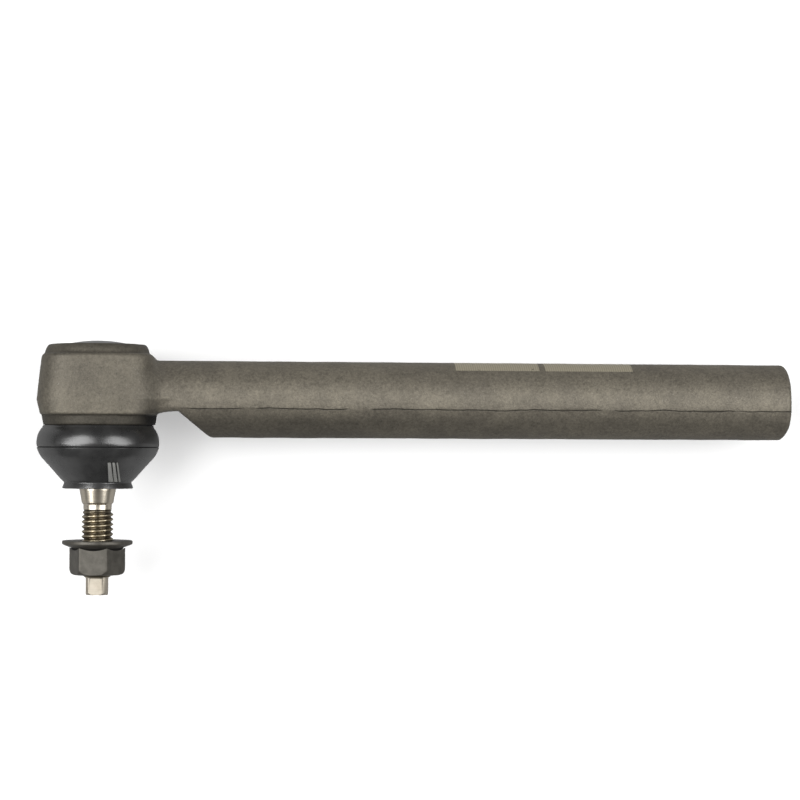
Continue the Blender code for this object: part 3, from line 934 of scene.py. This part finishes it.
@dataclass
class Cover:
    """The domed plate under the housing's rolled lip."""

    wall: float = 1.6
    dome_top: float = 23.0
    dome_radius: float = 55.0
    flange_foot: float = 18.6
    outer_radius: float = 17.0
    dome_edge: float = 12.9

    def build(self) -> None:
        """Turns the plate: a spherical dome, height = top - r^2 / (2 R), and a flat flange."""
        reach = np.linspace(0.6, self.dome_edge, 14)
        over = np.stack([reach, self.dome_top - reach**2 / (2 * self.dome_radius)], -1)
        top = self.flange_foot + self.wall
        corners = [
            (self.dome_edge, top, 0),
            (self.outer_radius, top, 0.3),
            (self.outer_radius, self.flange_foot, 0.3),
            (12.3, self.flange_foot, 0),
        ]
        rim = rounded_outline(corners, closed=False)
        under_reach = np.linspace(11.7, 0.6, 12)
        under_height = self.dome_top - self.wall - under_reach**2 / (2 * self.dome_radius)
        under = np.stack([under_reach, under_height], -1)
        plate = turned("domed_cover", np.vstack([over, rim, under]), False, 128, 40.0)
        finish = SheetSteel("cover_steel_finish", (0.3, 0.3, 0.3), 0.4).material()
        dress(plate, finish, Body.HOUSING, Slot.COVER, "cover_plate")


@dataclass
class DustBoot:
    """The rubber boot, in two halves that meet at its fold line."""

    fold: float = -19.2
    columns: int = 288
    rib_rise: float = 1.5
    vent_top: float = -25.2
    vent_foot: float = -32.8
    rib_columns: int = 28
    rib_squareness: float = 3.2
    rib_growth: float = 1.45
    rib_levels: int = 9
    rib_sink: float = 1.2
    rib_lean: float = 0.1
    ribs: tuple[Span, ...] = ((5.0, 0.66), (6.65, 0.56), (8.0, 0.32))
    rim: tuple[Span, ...] = (
        (21.9, -11.3), (22.9, -12.75), (23.5, -13.9), (23.9, -15.1),
        (24.12, -16.5), (24.2, -17.9), (24.05, -18.95)
    )
    cone: tuple[Span, ...] = (
        (24.05, -19.5), (23.9, -20.0), (23.4, -21.2), (22.5, -22.9), (20.8, -24.9),
        (18.95, -26.9), (17.2, -28.9), (15.45, -30.9), (13.65, -32.8)
    )
    lip: tuple[Corner, ...] = (
        (13.3, -33.1, 0), (13.3, -33.45, 0.4), (14.05, -35.6, 0.25),
        (8.1, -35.6, 0.3), (8.0, -33.2, 0.2), (11.6, -32.8, 0)
    )
    inside: tuple[Span, ...] = (
        (21.6, -19.2), (20.6, -21.2), (18.6, -24.2), (15.6, -27.9), (13.0, -30.9), (11.6, -32.4)
    )
    rim_inside: tuple[Span, ...] = ((19.3, -13.7), (20.5, -14.7), (21.2, -16.9), (21.6, -19.2))
    finish: BlackRubber = field(default_factory=BlackRubber)
    # The vent's rubber is much lighter than the boot's, as a painted sheen for the highlights on its ribs.
    vent_painted_sheen: BlackRubber = BlackRubber("vent_rubber_painted_sheen", (0.2, 0.2, 0.19), (0.33, 0.33, 0.31))

    def upper_half(self) -> bpy.types.Object:
        """Turns the rim and the bulge down to the fold line."""
        outer = flowing_outline(self.rim, 5)
        fold_edge = np.array([(23.75, -19.15), (23.6, self.fold)])
        inner = flowing_outline(self.rim_inside, 4)[::-1]
        top = np.array([(19.2, -10.95), (20.6, -10.95), (21.0, -10.56), (21.5, -10.56), (21.75, -10.8)])
        return turned("boot_bulge", np.vstack([outer, fold_edge, inner, top]), True, self.columns, 50.0)

    def vent_rib(self, offset: float, half: float) -> tuple[np.ndarray, np.ndarray]:
        """One upright rib of the vent, a rounded bar that follows the cone.

        Each level is a superellipse of exponent rib_squareness in plan that grows towards the foot;
        its depth runs from inside the cone to rib_rise outside it.

        Args:
            offset: The rib's distance to the right of the stud's axis.
            half: Its half width at the top.

        Returns:
            The grid's points, with two poles after them, and the height of each of its rings.
        """
        levels = np.linspace(self.vent_top - 0.15, self.vent_foot, self.rib_levels)
        heights = np.concatenate([[self.vent_top], levels])
        grow = np.concatenate([[0.6], np.linspace(1.0, self.rib_growth, self.rib_levels)])
        cone = np.array(self.cone)[::-1]
        surface = np.interp(heights, cone[:, 1], cone[:, 0])
        front = np.sqrt((surface + self.rib_rise) ** 2 - offset**2)
        back = np.sqrt(np.clip(surface**2 - offset**2, 1.0, None)) - self.rib_sink
        angle = turn_angles(self.rib_columns)[None]
        c, s, n = np.cos(angle), np.sin(angle), self.rib_squareness
        shape = 1.0 / (np.abs(c) ** n + np.abs(s) ** n) ** (1 / n)
        down = (self.vent_top - heights) / (self.vent_top - self.vent_foot)
        spread = offset * (1.0 + self.rib_lean * down)
        x = STUD_X + spread[:, None] + (half * grow)[:, None] * shape * c
        middle, depth = (front + back) / 2, (front - back) / 2
        y = -middle[:, None] + depth[:, None] * shape * s
        grid = np.stack([x, y, heights[:, None] + 0.0 * angle], -1)
        return np.vstack([grid.reshape(-1, 3), grid[0].mean(0), grid[-1].mean(0)]), heights

    def vent(self) -> bpy.types.Object:
        """Makes the moulded vent low on the boot's front right: three ribs in one piece."""
        points: list[np.ndarray] = []
        faces: list[np.ndarray] = []
        count = 0
        for offset, half in self.ribs:
            rib, heights = self.vent_rib(offset, half)
            faces += [block + count for block in grid_faces(len(heights), self.rib_columns, False)]
            points.append(rib)
            count += len(rib)
        return link_mesh("boot_vent", np.vstack(points), faces, 40.0)

    def lower_half(self) -> bpy.types.Object:
        """Turns the cone and the flared lip."""
        fold_edge = np.array([(23.6, self.fold), (23.75, -19.3)])
        outer = flowing_outline(self.cone, 9)
        lip = rounded_outline(self.lip, closed=False)
        inner = flowing_outline(self.inside, 4)[::-1]
        return turned("boot_cone", np.vstack([fold_edge, outer, lip, inner]), True, self.columns, 50.0)

    def build(self) -> None:
        """Builds both halves and the vent, gives each its finish, hides the frame's boot and bakes each
        one's place into its mesh.
        """
        rubber, vent_painted_sheen = self.finish.material(), self.vent_painted_sheen.material()
        parts = (
            (self.upper_half(), rubber, Body.HOUSING, Body.LINER, -11.6, self.fold),
            (self.lower_half(), rubber, Body.LINER, Body.BOOT_LIP, self.fold, -33.0),
            (self.vent(), vent_painted_sheen, Body.LINER, Body.BOOT_LIP, self.fold, -33.0),
        )
        for piece, finish, above, below, start, end in parts:
            piece.data.materials.append(finish)
            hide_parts("dust_boot")
            line = (Vector((STUD_X, 0.0, height)) * MM for height in (start, end))
            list(line)
            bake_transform(piece)
            LOG.info("%s bends from %s to %s", piece.name, above.value, below.value)


@dataclass
class BallStud:
    """The stud: ball, waist, taper, relief, rolled thread and square tip in one skin."""

    ball_height: float = 2.0
    ball_radius: float = 12.5
    waist_radius: float = 6.3
    taper_small: float = 6.2
    taper_foot: float = -41.5
    thread_radius: float = 6.28
    thread_depth: float = 1.0
    thread_top: float = -44.0
    thread_foot: float = -70.5
    pitch: float = 25.4 / 13
    tip_foot: float = -77.75
    tip_half: float = 4.2
    tip_corner: float = 5.15
    tip_turn: float = math.radians(-4.3)
    tip_levels: Levels = (0.0, 0.15, 0.5, 0.9, 6.6)
    tip_shrink: Levels = (0.84, 0.9, 0.96, 1.0, 1.0)
    columns: int = 144
    rows_per_pitch: int = 16

    def square(self, angle: np.ndarray) -> np.ndarray:
        """The tip's radius at an angle: half / max(|cos|, |sin|), no more than its round corners."""
        turned_angle = angle - self.tip_turn
        flat = self.tip_half / np.maximum(np.abs(np.cos(turned_angle)), np.abs(np.sin(turned_angle)))
        return np.minimum(flat, self.tip_corner)

    def neck_rows(self) -> np.ndarray:
        """(radius, height) rows above the thread: relief, taper, waist and ball, upwards."""
        neck = rounded_outline(
            [
                (5.6, self.thread_top + 0.02, 0),
                (5.6, self.taper_foot - 0.5, 0.25),
                (5.8, self.taper_foot - 0.2, 0.2),
                (self.taper_small - 0.1, self.taper_foot, 0.12),
                (self.taper_small + 0.02, self.taper_foot + 0.25, 0.15),
                (7.15, -36.3, 2.0),
                (8.1, -28.0, 1.2),
                (6.7, -23.0, 4.0),
                (self.waist_radius, -12.0, 0),
            ],
            closed=False,
        )
        start = math.asin(self.waist_radius / self.ball_radius)
        end = math.pi - math.asin(5.5 / self.ball_radius)
        sweep = np.linspace(start, end, 40)
        rise = self.ball_height - self.ball_radius * np.cos(sweep)
        ball = np.stack([self.ball_radius * np.sin(sweep), rise], -1)
        return np.vstack([neck, ball])

    def build(self) -> None:
        """Builds the stud's grid from the tip upwards and dresses it."""
        angle = turn_angles(self.columns, self.tip_turn + math.pi / 4)[None]
        tip_heights = self.tip_foot + np.array(self.tip_levels)[:, None]
        shrink = np.array(self.tip_shrink)[:, None]
        tip = np.minimum(self.square(angle), self.tip_corner * shrink + 0.0 * angle)
        root = self.thread_radius - self.thread_depth
        count = int((self.thread_top - self.thread_foot) / self.pitch * self.rows_per_pitch)
        heights = np.linspace(self.thread_foot, self.thread_top, count)[:, None]
        fade_low = np.clip((heights - self.thread_foot) / (0.7 * self.pitch), 0.0, 1.0)
        fade_top = np.clip((self.thread_top - heights) / (0.9 * self.pitch), 0.0, 1.0)
        thread = root + self.thread_depth * thread_wave(heights, angle, self.pitch) * fade_low * fade_top
        neck = self.neck_rows()
        radius = np.vstack([tip, thread, neck[:, :1] + 0.0 * angle])
        height = np.vstack([tip_heights, heights, neck[:, 1:]]) + 0.0 * angle
        stud = skin("stud", about_stud(radius, height, angle), False, 38.0)
        dress(stud, BrightSteel().material(), Body.STUD, Slot.STUD, "ball_stud")


@dataclass
class FlangeNut:
    """The hexagon nut and its captive conical washer."""

    across_flats: float = 19.4
    corner_trim: float = 0.06
    nut_turn: float = math.radians(-8.0)
    bore: float = 6.45
    bore_ends: Span = (-61.5, -69.4)
    bore_rows: int = 72
    thread_depth: float = 0.55
    top_corner: Span = (11.4, -58.8)
    dish: Span = (8.9, -60.65)
    pitch: float = 25.4 / 13
    columns: int = 180
    washer: tuple[Corner, ...] = (
        (6.9, -56.25, 0.15), (6.9, -60.4, 0.15), (7.6, -60.4, 0.1), (9.2, -60.15, 0.15),
        (10.3, -59.35, 0.15), (10.45, -58.9, 0.1), (11.3, -58.7, 0.4), (13.75, -57.75, 0.35),
        (13.9, -57.35, 0.2), (13.9, -56.45, 0.2), (13.65, -56.25, 0.15)
    )

    def hexagon(self, angle: np.ndarray) -> np.ndarray:
        """The hexagon's radius at an angle, trimmed at the corners: half its width over the cosine
        of the angle from the nearest flat's middle."""
        sixth = math.pi / 3
        off = np.mod(angle - self.nut_turn, sixth) - sixth / 2
        flat = self.across_flats / 2 / np.cos(off)
        return np.minimum(flat, self.across_flats / math.sqrt(3) - self.corner_trim)

    def build_nut(self) -> bpy.types.Object:
        """Makes the nut: an outline turned round, no wider than the hexagon, with a threaded bore.

        Its top is dished, so each side face ends in a hollow arc: no point stands higher than the
        dish's cone does at the hexagon's radius.
        """
        corner, dish = self.top_corner, self.dish
        corners = [
            (7.2, -69.85, 0.1),
            (9.1, -69.85, 1.5),
            (10.4, -69.3, 1.0),
            (corner[0], -67.4, 0.5),
            (*corner, 0.1),
            (*dish, 0.3),
            (7.6, dish[1], 0.1),
        ]
        outer = refined(rounded_outline(corners, steps=7, closed=False), 0.3)
        bore_heights = np.linspace(*self.bore_ends, self.bore_rows)
        wall = np.stack([np.full(self.bore_rows, self.bore), bore_heights], -1)
        rows = np.vstack([outer, wall])
        angle = turn_angles(self.columns, self.nut_turn)[None]
        radius, height = rows[:, :1] + 0.0 * angle, rows[:, 1:] + 0.0 * angle
        in_bore = (np.arange(len(rows)) >= len(outer))[:, None]
        threaded = self.bore + self.thread_depth * (1.0 - thread_wave(height, angle, self.pitch))
        side = self.hexagon(angle)
        slope = (corner[1] - dish[1]) / (corner[0] - dish[0])
        height = np.minimum(height, corner[1] - (corner[0] - side) * slope)
        radius = np.where(in_bore, threaded, np.minimum(radius, side))
        return skin("flanged_nut", about_stud(radius, height, angle), True, 30.0)

    def build(self) -> None:
        """Builds and dresses the nut and the washer, whose hub gets painted shade where it meets the nut.
        """
        finish = DarkPhosphate().material()
        # The washer's finish has painted shade on its hub, in the gap over the nut.
        painted_shade_below = DarkPhosphate(name="washer_phosphate_finish", painted_shade_depth=0.9).material()
        washer = turned("conical_washer", rounded_outline(self.washer), True, 144)
        dress(washer, painted_shade_below, Body.WASHER, Slot.PHOSPHATE, "nut_washer")
        dress(self.build_nut(), finish, Body.NUT, Slot.PHOSPHATE, "hex_nut")


class InnerPieces:
    """The bearing pieces inside, which keep their own solids."""

    def build(self) -> None:
        """Gives each inner node its finish."""
        bearing = SheetSteel("bearing_steel_finish", (0.42, 0.41, 0.4), 0.5).material()
        spring = SheetSteel("spring_steel_finish", (0.36, 0.35, 0.33), 0.3).material()
        finishes = {
            "cover_seal": BlackRubber().material(),
            "disc_spring": spring,
            "boot_rim_ring": spring,
            "boot_lip_ring": spring,
            "pressure_cup": bearing,
            "bearing_seat": bearing,
            "ball_liner": NaturalPolymer().material(),
        }
        for node, finish in finishes.items():
            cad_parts[node].data.materials.clear()
            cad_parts[node].data.materials.append(finish)
            LOG.info("%s keeps its solid", node)


# ---- Studio ----


@dataclass(frozen=True)
class Softbox:
    """A rectangular area light, turned by azimuth degrees to the right of square on."""

    name: str
    azimuth: float
    size: Span
    power: float


@dataclass
class Studio:
    """A white sweep close behind the part, two level softboxes and the camera."""

    azimuth: float = -5.5
    distance: float = 964.0
    aim: tuple[float, float, float] = (120.3, 0.0, 0.2)
    eye_height: float = -17.0
    roll: float = math.radians(0.26)
    lens: float = 108.0
    sweep_reach: float = 32.5
    sweep_sides: Span = (-900.0, 1200.0)
    sweep_height: float = 900.0
    sweep_white: Colour = (0.93, 0.93, 0.93)
    softboxes: tuple[Softbox, ...] = (
        Softbox("softbox_left", -41.5, (940.0, 600.0), 9.4),
        Softbox("softbox_right", 35.5, (900.0, 600.0), 7.9),
    )
    ambient: float = 0.1
    seen_white: float = 2.0
    light_distance: float = 990.0
    light_height: float = 40.0
    light_aim: float = -20.0
    clearness: float = 0.2
    mirror_clearness: float = 0.55

    def sweep_material(self) -> bpy.types.Material:
        """A thin matt white that shows the white world through it, and is clearer in reflections
        and from behind."""
        g = Graph("sweep_white", 0.9, 0.0, 0.0)
        g.shader.inputs["Base Color"].default_value = (*self.sweep_white, 1.0)
        behind = g.node("ShaderNodeNewGeometry", {}, {}, "Backfacing")
        mirrored = g.node("ShaderNodeLightPath", {}, {}, "Is Glossy Ray")
        behind = g.math("MAXIMUM", behind, mirrored * self.mirror_clearness)
        clear = g.node("ShaderNodeBsdfTransparent", {}, {})
        share = behind * (1.0 - self.clearness) + self.clearness
        both = g.node("ShaderNodeMixShader", {}, {0: share, 2: clear})
        g.tree.links.new(g.shader.outputs[0], both.socket.node.inputs[1])
        g.tree.links.new(both.socket, g.tree.nodes["Material Output"].inputs["Surface"])
        return g.material

    def sweep(self) -> None:
        """Makes the sweep, one upright sheet behind the part."""
        (left, right), top = self.sweep_sides, self.sweep_height
        corners = [(left, -top), (right, -top), (right, top), (left, top)]
        mesh = bpy.data.meshes.new("sweep")
        places = [Vector((STUD_X + x, self.sweep_reach, z)) * MM for x, z in corners]
        mesh.from_pydata(places, [], [(0, 1, 2, 3)])
        mesh.materials.append(self.sweep_material())
        linked("sweep", mesh)

    def lamp(self, box: Softbox) -> None:
        """Makes a softbox's light, aimed at the middle of the part."""
        light = bpy.data.lights.new(box.name, "AREA")
        light.shape = "RECTANGLE"
        light.size, light.size_y = (s * MM for s in box.size)
        light.energy = box.power
        made = linked(box.name, light)
        a = math.radians(box.azimuth)
        middle = STUD_X + self.aim[0]
        reach = self.light_distance
        place = (middle + reach * math.sin(a), -reach * math.cos(a), self.light_height)
        made.location = Vector(place) * MM
        target = Vector((middle, 0.0, self.light_aim)) * MM
        made.rotation_euler = (target - made.location).to_track_quat("-Z", "Z").to_euler()

    def camera(self) -> None:
        """Places the camera: level with the boot, a few degrees to the left of square on."""
        data = bpy.data.cameras.new("camera")
        data.lens, data.sensor_width = self.lens, 36.0
        data.clip_start, data.clip_end = 0.05, 20.0
        made = linked("camera", data)
        aim = Vector((STUD_X + self.aim[0], self.aim[1], self.aim[2])) * MM
        a = math.radians(self.azimuth)
        place = aim + Vector((math.sin(a), -math.cos(a), 0.0)) * self.distance * MM
        place.z = self.eye_height * MM
        turn = (aim - place).to_track_quat("-Z", "Y").to_matrix().to_4x4()
        made.matrix_world = Matrix.Translation(place) @ turn @ Matrix.Rotation(self.roll, 4, "Z")
        bpy.context.scene.camera = made

    def world(self) -> None:
        """A world that the camera sees as white and that lights the part only a little."""
        world = bpy.data.worlds.new("studio")
        bpy.context.scene.world = world
        world.use_nodes = True
        tree = world.node_tree
        seen = tree.nodes.new("ShaderNodeLightPath")
        strength = tree.nodes.new("ShaderNodeMapRange")
        strength.inputs["To Min"].default_value = self.ambient
        strength.inputs["To Max"].default_value = self.seen_white
        tree.links.new(seen.outputs["Is Camera Ray"], strength.inputs["Value"])
        background = tree.nodes["Background"]
        background.inputs["Color"].default_value = (1.0, 1.0, 1.0, 1.0)
        tree.links.new(strength.outputs["Result"], background.inputs["Strength"])
        bpy.context.scene.view_settings.view_transform = "Standard"

    def build(self) -> None:
        """Builds the world, the sweep, the lights and the camera."""
        self.world()
        self.sweep()
        for box in self.softboxes:
            self.lamp(box)
        self.camera()


def main() -> None:
    """Builds the studio and every piece."""
    logging.basicConfig(level=logging.INFO, format="%(name)s: %(message)s")
    for part in (Studio(), Forging(), Cover(), DustBoot(), BallStud(), FlangeNut(), InnerPieces()):
        part.build()


if __name__ == "__main__":
    main()
